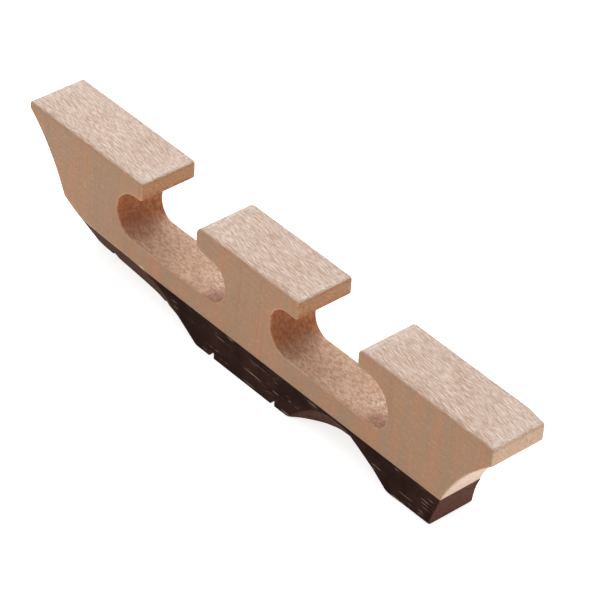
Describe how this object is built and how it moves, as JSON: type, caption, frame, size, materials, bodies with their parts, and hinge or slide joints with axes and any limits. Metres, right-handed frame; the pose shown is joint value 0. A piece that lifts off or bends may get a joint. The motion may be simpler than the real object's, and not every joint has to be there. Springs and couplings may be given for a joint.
{
  "type": "banjo bridge",
  "caption": "Compensated banjo bridge: maple body on three feet with undercut arches, and an ebony crown whose front edge is cut back to suit each string.",
  "frame": {"origin": "centre of the bridge's outline, on the plane of the crown's playing edge that it stands on as pictured, upside down", "axes": "+X along the bridge from the thickest string's notch to the thinnest string's, +Y from the cut-back front (neck side) to the plain back (tail side), +Z from the playing edge up to the soles of the feet. On the instrument the bridge is turned over, so +Z points down onto the head"},
  "size_m": [0.0762, 0.0076, 0.0159],
  "materials": {
    "maple": "bare fine-sanded hard maple, pale on the end grain of the feet, no lacquer",
    "wood_glue": "thin dark line of set glue between maple and ebony",
    "ebony": "near-black ebony, sanded, low sheen, with a few thin pale streaks along the grain"
  },
  "bodies": {
    "root": {"maple_body": "maple", "glue_film": "wood_glue", "ebony_crown": "ebony"}
  },
  "joints": []
}
